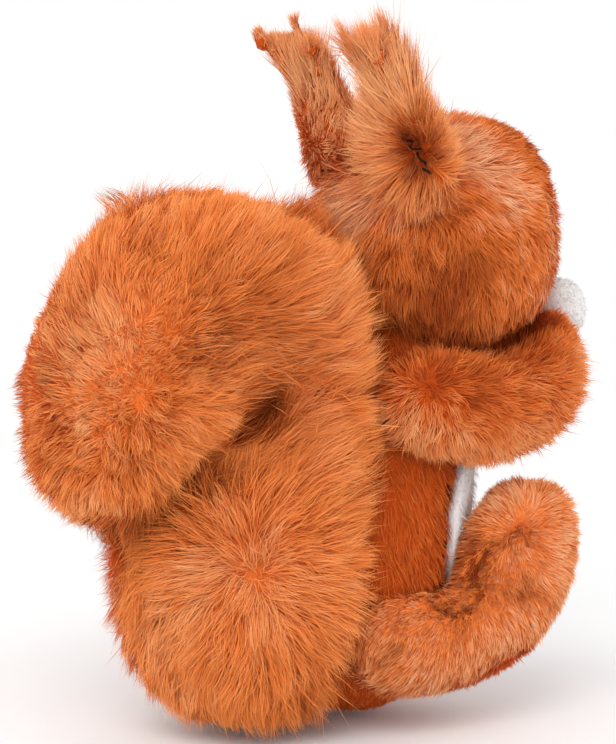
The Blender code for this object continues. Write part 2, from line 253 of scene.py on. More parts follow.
def seen(pixels, *nodes):
    """The places under these pixels, each with its mirror image."""
    return [p for px, py in pixels for p in both(under(px, py, *nodes))]


def patches(table, *nodes, turns=TURNS):
    """A table of tone and painted shading patches as places, radius in metres and value."""
    return [(under(px, py, *nodes) * turn, size * MM, value) for px, py, size, value in table for turn in turns]


# Sewn skins: the backing cloth of each soft piece, sunk below its solid by the height of the pile

def sewn_skin(name, node, voxel, rounds, close=0.0):
    skin = bpy.data.objects.new(name, frame["nodes"][node].data.copy())
    skin.data.materials.clear()
    bpy.context.scene.collection.objects.link(skin)
    only(skin)
    bpy.ops.object.mode_set(mode="EDIT")
    bpy.ops.mesh.select_all(action="SELECT")
    bpy.ops.mesh.remove_doubles(threshold=0.00001)
    bpy.ops.object.mode_set(mode="OBJECT")
    apply_modifier(skin, "REMESH", mode="VOXEL", voxel_size=voxel)
    apply_modifier(skin, "SMOOTH", factor=0.5, iterations=rounds)
    if close:
        apply_modifier(skin, "DISPLACE", strength=close, mid_level=0.0)
        apply_modifier(skin, "REMESH", mode="VOXEL", voxel_size=voxel)
        apply_modifier(skin, "SMOOTH", factor=0.5, iterations=2)
    return skin


def draw_in(skin, depth, voxel, step=0.002):
    """Draw the skin inwards a little at a time; depth is a number or a rule of the place."""
    mesh = skin.data
    deepest = float(depth(places_of(mesh)).max()) if callable(depth) else depth
    rounds = max(1, int(math.ceil(deepest / step)))
    for k in range(rounds):
        co = places_of(mesh)
        share = (depth(co)[:, None] if callable(depth) else depth) / rounds
        set_places(mesh, co - places_of(mesh, "normal") * share)
        if rounds > 3:
            apply_modifier(skin, "REMESH", mode="VOXEL", voxel_size=voxel)
        apply_modifier(skin, "SMOOTH", factor=0.4, iterations=3 if rounds > 3 else 1)
        mesh = skin.data


def stitch_pulls(skin, pulls):
    """Press in each stitched place: spot, depth and radius in metres."""
    mesh = skin.data
    co, no = places_of(mesh), places_of(mesh, "normal")
    push = np.zeros(len(co))
    for spot, depth, radius in pulls:
        push += depth * np.exp(-np.sum((co - spot) ** 2, axis=1) / (radius * radius))
    set_places(mesh, co - no * push[:, None])


def stuff(skin, pins=(), swell=0.0018):
    """Fill the skin: cloth under pressure, held where it is stitched, capped at the swell."""
    mesh = skin.data
    before = places_of(mesh)
    mod = skin.modifiers.new("filling", "CLOTH")
    mod.settings.quality = 4
    mod.settings.use_pressure = True
    mod.settings.uniform_pressure_force = 4.0
    mod.settings.effector_weights.gravity = 0.0
    mod.settings.bending_stiffness = 0.6
    mod.collision_settings.use_collision = False
    mod.point_cache.frame_start, mod.point_cache.frame_end = 1, FILL_FRAMES
    if len(pins):
        held = np.zeros(len(before))
        for spot, radius in pins:
            held = np.maximum(held, np.exp(-np.sum((before - spot) ** 2, axis=1) / (radius * radius)))
        group = skin.vertex_groups.new(name="stitched")
        for k in np.nonzero(held > 0.3)[0]:
            group.add([int(k)], 1.0, "REPLACE")
        mod.settings.vertex_group_mass = "stitched"
    for k in range(1, FILL_FRAMES + 1):
        bpy.context.scene.frame_set(k)
    only(skin)
    bpy.ops.object.modifier_apply(modifier=mod.name)
    bpy.context.scene.frame_set(1)
    skin.vertex_groups.clear()
    move = places_of(mesh) - before
    far = np.linalg.norm(move, axis=1, keepdims=True)
    set_places(mesh, before + move * np.minimum(1.0, swell / np.maximum(far, 1e-9)))
    apply_modifier(skin, "SMOOTH", factor=0.4, iterations=1)


def mirrored(skin, name):
    """The other side's skin, its own mesh, turned across the middle plane."""
    other = bpy.data.objects.new(name, skin.data.copy())
    bpy.context.scene.collection.objects.link(other)
    co = places_of(other.data)
    co[:, 0] *= -1
    set_places(other.data, co)
    other.data.flip_normals()
    return other


# Pile: every strand is a tapered ribbon that leaves the skin, leans along the nap and gathers in locks

def root_points(skin, count, rng, weight=None):
    """Random places on a skin, spread by area, with the skin's smooth normals there."""
    mesh = skin.data
    mesh.calc_loop_triangles()
    co, no = places_of(mesh), places_of(mesh, "normal")
    tri = np.empty(len(mesh.loop_triangles) * 3, dtype=np.int64)
    mesh.loop_triangles.foreach_get("vertices", tri)
    tri = tri.reshape(-1, 3)
    a, b, c = co[tri[:, 0]], co[tri[:, 1]], co[tri[:, 2]]
    area = 0.5 * np.linalg.norm(np.cross(b - a, c - a), axis=1)
    if weight is not None:
        area = area * weight((a + b + c) / 3.0)
    run = np.cumsum(area)
    pick = np.searchsorted(run, rng.random(count) * run[-1]).clip(0, len(tri) - 1)
    u, v = rng.random(count), rng.random(count)
    over = u + v > 1
    u[over], v[over] = 1 - u[over], 1 - v[over]
    w = 1 - u - v
    t = tri[pick]
    place = co[t[:, 0]] * w[:, None] + co[t[:, 1]] * u[:, None] + co[t[:, 2]] * v[:, None]
    normal = unit(no[t[:, 0]] * w[:, None] + no[t[:, 1]] * u[:, None] + no[t[:, 2]] * v[:, None])
    return place, normal


def nearest_guide(place, guides):
    tree = KDTree(len(guides))
    for i, g in enumerate(guides):
        tree.insert(Vector(place[g]), i)
    tree.balance()
    return np.array([guides[tree.find(Vector(p))[1]] for p in place])


def drift(place, rng, size, amount):
    """Slow wandering of the nap: a few crossed waves, size is their length in metres."""
    out = np.zeros_like(place)
    for _ in range(7):
        wave = unit(rng.normal(0, 1, 3)) * 6.283 / size * rng.uniform(0.6, 1.6)
        out += np.sin(place @ wave + rng.uniform(0, 6.28))[:, None] * rng.normal(0, 1, 3)
    return out * amount / 2.6


def nap_from(place, normal, whorls, bias, rng, wander):
    """Nap that runs away from each whorl, the nearer whorl the stronger, laid onto the skin."""
    flow = np.zeros_like(place)
    for spot, pull in whorls:
        away = place - np.array(spot)
        dist = np.linalg.norm(away, axis=1, keepdims=True)
        flow += pull * away / np.maximum(dist, 1e-6) * (0.010 / np.maximum(dist, 0.004)) ** 1.5
    flow = unit(flow) + (bias(place) if callable(bias) else np.array(bias))
    flow = flow + drift(place, rng, 0.030, wander) + drift(place, rng, 0.012, wander * 0.6)
    return unit(flow - normal * np.sum(flow * normal, axis=1, keepdims=True))


def tone_and_shading_of(place, spots):
    """Soft round patches of tone, painted shade and painted light: above 0 is paler, below 0 deeper."""
    tone = np.zeros(len(place))
    for spot, size, value in spots:
        tone += value * np.exp(-np.sum((place - np.array(spot)) ** 2, axis=1) / (2 * size * size))
    return tone


def rising(values, start, span):
    return np.clip((values - start) / span, 0, 1)


def nearness(place, spots, size):
    d = np.min([np.linalg.norm(place - np.array(s), axis=1) for s in spots], axis=0)
    return np.exp(-(d / size) ** 2)


def grow_pile(name, place, normal, flow, length, lean, tone, rng, width, jitter, clump, clump_share=0.05,
              steps=3, curl=0.0, comb=(0, 0, 0), patchy=0.2):
    """lean is a pair of angles from the normal, at root and tip; comb is the way that all ends are swept."""
    n = len(place)
    length = length * rng.uniform(*LENGTH_SPREAD, n)
    loose = rng.random(n) < LOOSE_SHARE
    length[loose] *= LOOSE_LENGTH
    lean0, lean1 = (np.broadcast_to(v, n)[:, None] for v in lean)
    wild = rng.normal(0, 1, (n, 3)) * (np.broadcast_to(jitter, n) * np.where(loose, LOOSE_WILD, 1.0))[:, None]
    comb = np.broadcast_to(comb, (n, 3))
    start = unit(normal * np.cos(lean0) + flow * np.sin(lean0) + wild * 0.5 + comb * 0.35)
    end = unit(normal * np.cos(lean1) + flow * np.sin(lean1) + wild + comb)
    t = np.linspace(0, 1, steps)
    path = (place[:, None, :] + length[:, None, None]
            * (start[:, None, :] * t[None, :, None] + (end - start)[:, None, :] * (t * t / 2)[None, :, None]))
    curl = np.broadcast_to(curl, n)
    if curl.max() > 0:
        side = unit(np.cross(start, unit(rng.normal(0, 1, (n, 3)))))
        wave = np.sin(t[None, :] * rng.uniform(3, 7, n)[:, None] + rng.uniform(0, 6.28, n)[:, None])
        path += side[:, None, :] * (wave * t[None, :] * (curl * length)[:, None])[:, :, None]
    for share, pull, power in ((clump_share, clump, 1.4), (clump_share * 6, clump * 0.6, 1.0)):
        guides = rng.choice(n, max(4, int(n * share)), replace=False)
        lead = nearest_guide(place, guides)
        amount = pull * rng.uniform(0.4, 1.1, n) * np.where(loose, LOOSE_CLUMP, 1.0)
        path += (path[lead] - path) * (amount[:, None] * t[None, :] ** power)[:, :, None]
        tone = tone + rng.normal(0, patchy, n)[lead]
    along = unit(np.gradient(path, axis=1))
    flat = unit(np.cross(along, normal[:, None, :]))
    lift = np.cross(flat, along)
    roll = rng.uniform(-STRAND_ROLL, STRAND_ROLL, n)[:, None, None]
    across = flat * np.cos(roll) + lift * np.sin(roll)
    face = unit(np.cross(across[:, 0], along[:, 0]))
    turn = np.where(np.sum(face * normal, axis=1) < 0, -1.0, 1.0)
    across = across * turn[:, None, None]
    thick = width * rng.uniform(0.7, 1.25, n)[:, None] * np.clip(1.1 * (1 - t) ** 0.55, 0, 1)[None, :]
    left = path - across * thick[:, :, None] / 2
    right = path + across * thick[:, :, None] / 2
    per = 2 * (steps - 1) + 1
    verts = np.empty((n, per, 3))
    verts[:, 0:per - 1:2] = left[:, :-1]
    verts[:, 1:per - 1:2] = right[:, :-1]
    verts[:, per - 1] = path[:, -1]
    rand = rng.random(n)
    info = np.empty((n, per, 3))
    info[:, 0:per - 1:2, 0] = t[:-1]
    info[:, 1:per - 1:2, 0] = t[:-1]
    info[:, per - 1, 0] = 1
    info[:, :, 1] = rand[:, None]
    info[:, :, 2] = tone[:, None]
    shade = unit(normal * SURFACE_SHARE + face * turn[:, None] * (1 - SURFACE_SHARE))
    return ribbon_mesh(name, verts, info, shade, steps)


def ribbon_mesh(name, verts, info, shade, steps):
    n, per = verts.shape[:2]
    first = np.arange(n)[:, None] * per
    quads = [(2 * k, 2 * k + 1, 2 * k + 3, 2 * k + 2) for k in range(steps - 2)]
    last = (2 * (steps - 2), 2 * (steps - 2) + 1, per - 1)
    order = np.array([i for q in quads for i in q] + list(last))
    corners = (first + order[None, :]).ravel()
    totals = np.tile(np.array([4] * len(quads) + [3]), n)
    starts = np.concatenate(([0], np.cumsum(totals)[:-1]))
    mesh = bpy.data.meshes.new(name)
    mesh.vertices.add(n * per)
    mesh.vertices.foreach_set("co", verts.reshape(-1))
    mesh.loops.add(len(corners))
    mesh.loops.foreach_set("vertex_index", corners.astype(np.int32))
    mesh.polygons.add(len(totals))
    mesh.polygons.foreach_set("loop_start", starts.astype(np.int32))
    mesh.polygons.foreach_set("use_smooth", np.ones(len(totals), dtype=bool))
    # Each strand has its own cell of the map, root at the bottom
    cells = int(math.ceil(math.sqrt(n)))
    u_cell, v_cell = np.empty(per), np.empty(per)
    u_cell[0:per - 1:2], u_cell[1:per - 1:2], u_cell[per - 1] = 0.12, 0.88, 0.5
    v_cell[0:per - 1:2] = v_cell[1:per - 1:2] = 0.1 + 0.8 * np.linspace(0, 1, steps)[:-1]
    v_cell[per - 1] = 0.9
    col, row = np.arange(n) % cells, np.arange(n) // cells
    uv = np.stack([(col[:, None] + u_cell[None, :]) / cells, (row[:, None] + v_cell[None, :]) / cells], axis=2)
    layer = mesh.uv_layers.new(name="OFBake")
    layer.data.foreach_set("uv", uv.reshape(-1, 2)[corners].reshape(-1))
    attr = mesh.attributes.new("strand", "FLOAT_VECTOR", "POINT")
    attr.data.foreach_set("vector", info.reshape(-1))
    mesh.update(calc_edges=True)
    mesh.normals_split_custom_set_from_vertices(np.repeat(shade[:, None, :], per, axis=1).reshape(-1, 3))
    obj = bpy.data.objects.new(name, mesh)
    bpy.context.scene.collection.objects.link(obj)
    return obj


# Materials

def feed(made, inputs):
    """Set a node's inputs: a value, or the socket that it is linked from."""
    for key, value in inputs.items():
        if isinstance(value, bpy.types.NodeSocket):
            made.id_data.links.new(value, made.inputs[key])
        else:
            made.inputs[key].default_value = value
    return made


def add_node(tree, kind, inputs=None, **settings):
    made = tree.nodes.new("ShaderNode" + kind)
    for key, value in settings.items():
        setattr(made, key, value)
    return feed(made, inputs or {})


def new_material(name):
    mat = bpy.data.materials.new(name)
    mat.use_nodes = True
    return mat, mat.node_tree, mat.node_tree.nodes["Principled BSDF"]


def pile_tone_group():
    """Colour of a strand from its place along it, its own chance number and the tone of its patch."""
    name = "pile tone"
    if name in bpy.data.node_groups:
        return bpy.data.node_groups[name]
    group = bpy.data.node_groups.new(name, "ShaderNodeTree")
    group.interface.new_socket(name="Strand", in_out="INPUT", socket_type="NodeSocketVector")
    for label in ("Root", "Middle", "Tip", "Deep", "Pale"):
        group.interface.new_socket(name=label, in_out="INPUT", socket_type="NodeSocketColor")
    group.interface.new_socket(name="Colour", in_out="OUTPUT", socket_type="NodeSocketColor")
    enter = group.nodes.new("NodeGroupInput").outputs
    along, chance, patch = add_node(group, "SeparateXYZ", {0: enter["Strand"]}).outputs

    def ramp(source, lo, hi):
        return add_node(group, "MapRange", {"Value": source, "From Min": lo, "From Max": hi}).outputs["Result"]

    def mix(a, b, share):
        return add_node(group, "Mix", {0: share, 6: a, 7: b}, data_type="RGBA").outputs[2]

    colour = mix(enter["Root"], enter["Middle"], ramp(along, 0.0, 0.45))
    colour = mix(colour, enter["Tip"], ramp(along, 0.35, 1.0))
    # Patch values below 0 mix in the deep colour, mostly painted shade in crevices, pits and joins; values above 0 mix
    # in the pale colour, in places painted light along shaded edges
    sunk = add_node(group, "Math", {0: patch, 1: -1.0}, operation="MULTIPLY").outputs[0]
    colour = mix(colour, enter["Deep"], ramp(sunk, 0.0, FULL_TONE))
    colour = mix(colour, enter["Pale"], ramp(patch, 0.0, FULL_TONE))
    level = add_node(group, "MapRange", {"Value": chance, "To Min": 0.91, "To Max": 1.07}).outputs["Result"]
    final = add_node(group, "VectorMath", {0: colour, "Scale": level}, operation="SCALE")
    feed(group.nodes.new("NodeGroupOutput"), {"Colour": final.outputs["Vector"]})
    return group


def rgba(colour, scale=1.0):
    return (min(1.0, colour[0] * scale), min(1.0, colour[1] * scale), min(1.0, colour[2] * scale), 1.0)


def pile_material(name, colours, **own):
    """Pile in the squirrel's colours, or in its own where they are given."""
    mat, tree, shader = new_material(name)
    strand = add_node(tree, "Attribute", attribute_name="strand")
    tone = add_node(tree, "Group", node_tree=pile_tone_group())
    feed(tone, {"Strand": strand.outputs["Vector"]})
    for label in ("root", "middle", "tip", "deep", "pale"):
        feed(tone, {label.capitalize(): rgba(own.get(label, getattr(colours, label)))})
    feed(shader, {"Base Color": tone.outputs["Colour"], "Roughness": 0.8, "Specular IOR Level": 0.15,
                  "Sheen Weight": 0.05, "Sheen Roughness": 0.5, "Sheen Tint": rgba(colours.pale)})
    return mat


def backing_material(name, dark, light):
    """Knitted backing under the pile: mottled, with a fine uneven nap."""
    mat, tree, shader = new_material(name)
    coords = add_node(tree, "TexCoord").outputs["Object"]
    fine = add_node(tree, "TexNoise", {"Vector": coords, "Scale": 900, "Detail": 4}).outputs["Fac"]
    broad = add_node(tree, "TexNoise", {"Vector": coords, "Scale": 60}).outputs["Fac"]
    half = add_node(tree, "Math", {0: broad, 1: 0.5}, operation="MULTIPLY").outputs[0]
    blend = add_node(tree, "Math", {0: fine, 1: 0.5, 2: half}, operation="MULTIPLY_ADD").outputs[0]
    ramp = add_node(tree, "ValToRGB", {"Fac": blend})
    for stop, share, colour in zip(ramp.color_ramp.elements, (0.3, 0.75), (dark, light)):
        stop.position, stop.color = share, rgba(colour)
    bump = add_node(tree, "Bump", {"Strength": 0.6, "Distance": 0.001, "Height": fine})
    feed(shader, {"Base Color": ramp.outputs["Color"], "Normal": bump.outputs["Normal"], "Roughness": 0.95,
                  "Specular IOR Level": 0.1})
    return mat


def head_share(place):
    """Pile length over the head, 0 on the face and 1 behind it."""
    share = rising(place[:, 1], at(0, -60, 0).y, 0.046)
    nape = nearness(place, both(at(-14, 4, 170)), 0.016)
    cheek = nearness(place, both(at(-26, -52, 150)), 0.012)
    return 0.32 + 0.50 * share * share * (3 - 2 * share) + 0.45 * nape + 0.10 * cheek


class PLUSH_OT_skins(bpy.types.Operator):
    """Sew the backing skins of body, head, ears, arms, legs, tail, belly and ball, and stuff all but belly and ball.
    """
    bl_idname = "plush.skins"
    bl_label = "Sewn skins"

    def execute(self, context):
        colours, sizes = context.scene.plush_colours, context.scene.plush_sizes
        rust = backing_material("rust_backing", colours.root, colours.middle)
        deep = backing_material("deep_rust_backing", (0.46, 0.06, 0.005), (0.54, 0.085, 0.009))
        # The light backing is paler than the pile's roots: on the head it is painted light that lifts the shaded
        # backing showing through the short face pile
        light = backing_material("light_rust_backing", colours.middle,
                                 [0.5 * (a + b) for a, b in zip(colours.middle, colours.tip)])
        white = backing_material("white_backing", [c * 0.85 for c in colours.white], colours.white)
        rise = 0.52      # height of leaning pile over its length
        # node, voxel, smoothing rounds, creases closed by (mm), drawn in by (m or a rule), slot, backing
        plan = (("tail", 0.003, 10, 3, 0.0038, "tail_long_pile", rust),
                ("head", 0.0025, 3, 0, lambda p: np.maximum(0, sizes.head_pile * rise * head_share(p) - 0.0034),
                 "rust_plush", light),
                ("body", 0.003, 3, 0, 0.0012, "deep_rust_plush", deep),
                ("ear_right", 0.002, 2, 0, lambda p: 0.0035 * rising(p[:, 2], at(0, 0, 182).z, 0.016),
                 "rust_plush", deep),
                ("arm_right", 0.0022, 3, 0, 0.0010, "deep_rust_plush", deep),
                ("leg_right", 0.0018, 2, 0, 0.0004, "rust_plush", light),
                ("belly_panel", 0.0015, 2, 0, 0.0004, "white_plush", white),
                ("held_ball", 0.0010, 3, 0, 0.0002, "white_plush", white))
        # stitched places: pixel across and down, depth and radius in millimetres
        pulls = {"leg_right": ((525, 537, 3.2, 4.5), (508, 550, 1.6, 4.0), (491, 560, 3.2, 4.0), (482, 574, 3.4, 4.0),
                               (470, 600, 3.0, 3.5), (455, 608, 2.4, 3.5), (441, 600, 1.8, 3.5), (535, 586, 2.6, 4.0),
                               (395, 660, 1.6, 5.0)),
                 "arm_right": ((531, 328, 4.2, 4.5), (513, 343, 1.8, 5.0), (438, 377, 1.6, 5.0), (520, 400, 1.0, 9.0)),
                 "tail": ((262, 415, 7, 6), (240, 438, 7, 6), (215, 460, 5, 6), (190, 480, 5, 6), (165, 500, 5, 6),
                          (140, 516, 4, 6), (100, 400, 2, 9), (150, 350, 2, 8)),
                 "ear_right": ((410, 150, 2.4, 5.5), (424, 168, 1.8, 4.5))}
        for node, voxel, rounds, close, sink, slot, mat in plan:
            skin = sewn_skin(node + "_skin", node, voxel, rounds, close * MM)
            pressed = [(under(px, py, node), depth * MM, radius * MM) for px, py, depth, radius in pulls.get(node, ())]
            stuffed = node not in ("belly_panel", "held_ball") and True
            spare = 0.0010 if stuffed else 0.0
            if callable(sink):
                draw_in(skin, lambda p: sink(p) + spare, voxel)
            else:
                draw_in(skin, sink + close * MM + spare, voxel)
            stitch_pulls(skin, pressed)
            if stuffed:
                stuff(skin, [(spot, radius * 0.5) for spot, depth, radius in pressed])
            skin.data.materials.append(mat)
            made = [(node, skin)]
            if node.endswith("_right"):
                twin = node.replace("_right", "_left")
                made.append((twin, mirrored(skin, twin + "_skin")))
            for key, obj in made:
                only(obj)
                bpy.ops.object.shade_smooth()
                finish_piece(obj, slot, key, padded=0.8)
                SKINS[key] = obj
                SKIN_TREES[key] = tree_of(obj.data)
        return {"FINISHED"}


def clear_of(place, normal, reach, others):
    """True where a strand of this reach does not end up inside a neighbouring skin."""
    keep = np.ones(len(place), dtype=bool)
    probe = place + normal * reach[:, None]
    ways = (Vector((0.37, -0.21, 0.9)).normalized(), Vector((-0.62, 0.71, -0.33)).normalized())
    for other in others:
        co = places_of(SKINS[other].data)
        near = np.where(np.all((probe > co.min(0)) & (probe < co.max(0)), axis=1) & keep)[0]
        tree = SKIN_TREES[other]
        for i in near:
            hits = [(tree.ray_cast(Vector(probe[i]), way), way) for way in ways]
            keep[i] = not all(hit[0] is not None and hit[1].dot(way) > 0 for hit, way in hits)
    return keep


def pile_on(context, name, node, slot, mat, count, length, lean, whorls, bias=(0, 0, 0), tone_and_shading_patches=(),
            others=(), weight=None, seed=0, wander=0.25, **style):
    sizes = context.scene.plush_sizes
    rng = np.random.default_rng(sizes.seed * 1000 + seed)
    place, normal = root_points(SKINS[node], max(50, int(count * sizes.density)), rng, weight)
    size = length(place) if callable(length) else np.full(len(place), length)
    keep = clear_of(place, normal, size * STAND_SHARE, others) & (place[:, 2] > ROOT_GAP)
    place, normal, size = place[keep], normal[keep], size[keep]
    flow = nap_from(place, normal, whorls, bias, rng, wander)
    tilt = lean(place) if callable(lean) else lean
    style = {key: value(place) if callable(value) else value for key, value in style.items()}
    # The patches add painted shade and painted light to the strands' own colour
    obj = grow_pile(name, place, normal, flow, size, tilt, tone_and_shading_of(place, tone_and_shading_patches), rng, **style)
    co = places_of(obj.data)
    co[:, 2] = np.maximum(co[:, 2], FLOOR_GAP + 0.0004 * rng.random(len(co)))
    obj.data.vertices.foreach_set("co", co.reshape(-1))
    obj.data.materials.append(mat)
    return finish_piece(obj, slot)


class PLUSH_OT_tail_pile(bpy.types.Operator):
    """Grow the tail's long top coat and the matted down under it, in three pieces each."""
    bl_idname = "plush.tail_pile"
    bl_label = "Tail pile"

    def execute(self, context):
        sizes, colours = context.scene.plush_sizes, context.scene.plush_colours
        coat = pile_material("tail_coat", colours, pale=(0.91, 0.42, 0.17))
        down = pile_material("tail_down", colours, pale=(0.90, 0.40, 0.15),
                             tip=[a * 0.6 + b * 0.4 for a, b in zip(colours.middle, colours.tip)])
        low = both(under(255, 577, "tail"))
        high = both(under(140, 405, "tail"))
        whorls = [(p, 1.0) for p in low] + [(p, 1.5) for p in high]
        matted = high + both(under(110, 440, "tail")) + both(under(165, 380, "tail"))
        crevice = seen(((268, 408), (258, 420), (246, 432), (232, 446), (214, 460), (192, 479), (168, 499)), "tail")
        crown = seen(((115, 205), (295, 205)), "tail")
        crown_middle = seen(((170, 190), (215, 188), (250, 192)), "tail")
        rear = seen(((45, 265), (38, 290), (25, 340), (20, 380)), "tail")
        heel = seen(((112, 625), (122, 655), (135, 690), (165, 720), (205, 738), (250, 742)), "tail")
        lobe_foot = seen(((40, 508), (65, 520), (95, 524)), "tail")
        over = seen(((252, 402), (236, 420), (220, 438)), "tail")

        def near_floor(place):
            return rising(place[:, 2], 0.002, 0.018)

        def ridge(place):
            behind = rising(place[:, 1], at(0, 88, 0).y, 0.014)
            return behind * np.clip(1 - np.abs(place[:, 0]) / 0.030, 0, 1)

        def ridge_nap(place):
            way = np.tanh((place[:, 2] - high[0][2]) / 0.012)
            return np.array((0, 0, 0.10)) + np.array((0, 0, 1.6)) * (ridge(place) * way)[:, None]

        def lean(place):
            near = nearness(place, matted, 0.020)
            eye = nearness(place, low, 0.012)
            stand = nearness(place, crown, 0.012) + 0.15 * nearness(place, crown_middle, 0.016)
            stand = stand + 1.6 * ridge(place) * np.exp(-((place[:, 2] - high[0][2]) / 0.022) ** 2)
            return (np.maximum(0.15, 1.00 - 0.75 * near - 0.55 * eye - 0.42 * stand),
                    np.maximum(0.20, 1.22 - 0.80 * near - 0.60 * eye - 0.55 * stand))

        def length(place):
            short = 1.0 - 0.42 * nearness(place, matted, 0.022) - 0.30 * nearness(place, low, 0.018)
            short -= 0.40 * nearness(place, over, 0.009)
            short -= 0.60 * nearness(place, crown_middle, 0.018) + 0.60 * nearness(place, rear, 0.020)
            short -= 0.45 * nearness(place, lobe_foot, 0.012) + 0.42 * nearness(place, heel, 0.014)
            short = np.maximum(0.22, short)
            short += 0.30 * nearness(place, crown, 0.010)
            return (sizes.tail_pile * short * (1 - 0.60 * nearness(place, crevice, 0.0055))
                    * (0.50 + 0.50 * near_floor(place)))

        def ruffle(place):
            return 0.23 + 0.40 * nearness(place, matted, 0.024) + 0.10 * nearness(place, low, 0.015)

        def crimp(place):
            return 0.03 + 0.11 * nearness(place, matted, 0.022)

        def parting(place):
            return 1 - 0.85 * nearness(place, crevice[:8], 0.005)

        tone_and_shading_patches = [(p, 0.006, 0.35) for p in low] + patches(TAIL_TONE_AND_SHADING, "tail")
        split = at(0, 0, 84).z
        parts = (("foot", lambda p: (p[:, 2] <= split) * parting(p), 19500, 18500),
                 ("right", lambda p: ((p[:, 2] > split) & (p[:, 0] <= 0)) * parting(p), 20000, 18500),
                 ("left", lambda p: ((p[:, 2] > split) & (p[:, 0] > 0)) * parting(p), 15500, 14500))
        others = ("body", "head", "arm_right", "arm_left", "leg_right", "leg_left")
        shared = {"bias": ridge_nap, "tone_and_shading_patches": tone_and_shading_patches, "others": others}
        for k, (name, weight, coat_count, down_count) in enumerate(parts):
            pile_on(context, "tail_coat_" + name, "tail", "tail_long_pile", coat, coat_count, length, lean, whorls,
                    weight=weight, seed=1 + k, steps=4, width=sizes.strand, jitter=ruffle, clump=0.68,
                    clump_share=0.022, curl=crimp, comb=(0, 0, -0.08), **shared)
            pile_on(context, "tail_down_" + name, "tail", "tail_long_pile", down, down_count,
                    lambda p: 0.74 * length(p), lambda p: [v * 0.9 for v in lean(p)], whorls, weight=weight,
                    seed=5 + k, width=sizes.strand * 1.1, jitter=0.42, clump=0.5, curl=0.05,
                    **shared)
        return {"FINISHED"}


class PLUSH_OT_head_pile(bpy.types.Operator):
    """Grow the pile of the head, longer behind and short on the face."""
    bl_idname = "plush.head_pile"
    bl_label = "Head pile"

    def execute(self, context):
        sizes, colours = context.scene.plush_sizes, context.scene.plush_colours
        # The head's dark deep colour is painted shade for the deeper patches at the ear's foot and toward the neck
        mat = pile_material("head_pile", colours, root=(0.70, 0.140, 0.017), middle=(0.78, 0.178, 0.025),
                            tip=(0.86, 0.252, 0.056), deep=(0.35, 0.054, 0.006))
        tone_and_shading_patches = patches(HEAD_TONE_AND_SHADING, "head", "ear_right")
        whorls = [(p, 1.2) for p in both(under(415, 165, "head"))] + [(tuple(at(0, -80, 146)), 0.9)]

        for name, weight, count, seed in (("right", lambda p: (p[:, 0] <= 0).astype(float), 22000, 11),
                                          ("left", lambda p: (p[:, 0] > 0).astype(float), 17500, 12)):
            pile_on(context, "head_pile_" + name, "head", "rust_plush", mat, count,
                    lambda p: sizes.head_pile * head_share(p), (0.85, 1.18), whorls,
                    bias=(0, 0.15, -0.15), tone_and_shading_patches=tone_and_shading_patches, others=("body", "ear_right", "ear_left"), seed=seed,
                    weight=weight, width=sizes.strand, jitter=0.32, clump=0.55, clump_share=0.03, curl=0.05)
        return {"FINISHED"}


class PLUSH_OT_ear_pile(bpy.types.Operator):
    """Grow the ears' long tufted pile, short in front and long behind."""
    bl_idname = "plush.ear_pile"
    bl_label = "Ear pile"

    def execute(self, context):
        sizes, colours = context.scene.plush_sizes, context.scene.plush_colours
        # The ear's dark deep colour is painted shade for its stitched pit
        mat = pile_material("ear_pile", colours, root=(0.72, 0.15, 0.022), middle=(0.80, 0.23, 0.050),
                            tip=(0.88, 0.35, 0.125), deep=(0.24, 0.032, 0.004), pale=(0.93, 0.46, 0.20))
        for k, (side, turn) in enumerate(SIDES):
            s = int(turn[0])
            pit = under(412, 155, "ear_right") * turn
            rim = [under(px, py, "ear_right") * turn for px, py in ((404, 138), (412, 150), (420, 164))]
            foot = np.array(at(-19 * s, -14, 166))
            front = at(0, -16, 0).y

            def length(place):
                high = rising(place[:, 2], at(0, 0, 192).z, 0.02)
                rear = rising(place[:, 1], front, 0.016)
                short = 1 - (0.66 if side == "right" else 0.4) * nearness(place, rim, 0.0055)
                broad = nearness(place, [foot + np.array((-0.004 * s, -0.004, 0.008))], 0.016)
                low_rear = rear * (1 - high) * (0.62 if side == "left" else 0.0)
                inner = (1 - rear) * high * (0.32 if side == "right" else 0.20)
                waist = np.exp(-((place[:, 2] - at(0, 0, 198).z) / 0.007) ** 2) * rear
                tip = rising(place[:, 2], at(0, 0, 202).z, 0.008)
                more = 0.55 * waist - (0.50 * tip * rear if side == "left" else 0.0)
                return sizes.ear_pile * (0.44 + 0.46 * rear + 0.15 * broad - low_rear - inner + more) * short

            def lean(place):
                near = nearness(place, [pit], 0.008)
                return (0.92 - 0.3 * near, 1.18 - 0.2 * near)

            def upward(place):
                high = rising(place[:, 2], at(0, 0, 188).z, 0.018)[:, None]
                return np.array((-0.05 * s, 0.45, 1.05)) * high

            def back_and_up(place):
                rear = rising(place[:, 2], at(0, 0, 185).z, 0.02)[:, None]
                return np.array((0.0, 0.45, 0.30)) * (1 - rear) + np.array((-0.05 * s, 0.45, 0.8)) * rear

            # The deeper patches along the stitched pit are painted shade
            tone_and_shading_patches = [(p, 0.0042, -1.2 if side == "right" else -0.3) for p in rim]
            tone_and_shading_patches += patches(((375, 130, 10, 1.1), (385, 90, 16, 0.9)), "ear_right", turns=[turn])
            tone_and_shading_patches += [(at(-22 * s, -14, 183), 0.007, 0.4), (at(-14 * s, 2, 190), 0.008, -0.3)]
            pile_on(context, "ear_pile_" + side, "ear_" + side, "rust_plush", mat, 8500, length,
                    lean, [(pit, 1.4), (foot, 0.3)], bias=back_and_up, tone_and_shading_patches=tone_and_shading_patches, others=("head",),
                    seed=21 + k, steps=4, width=sizes.strand * 0.9, jitter=0.30, clump=0.55,
                    comb=upward)
        return {"FINISHED"}


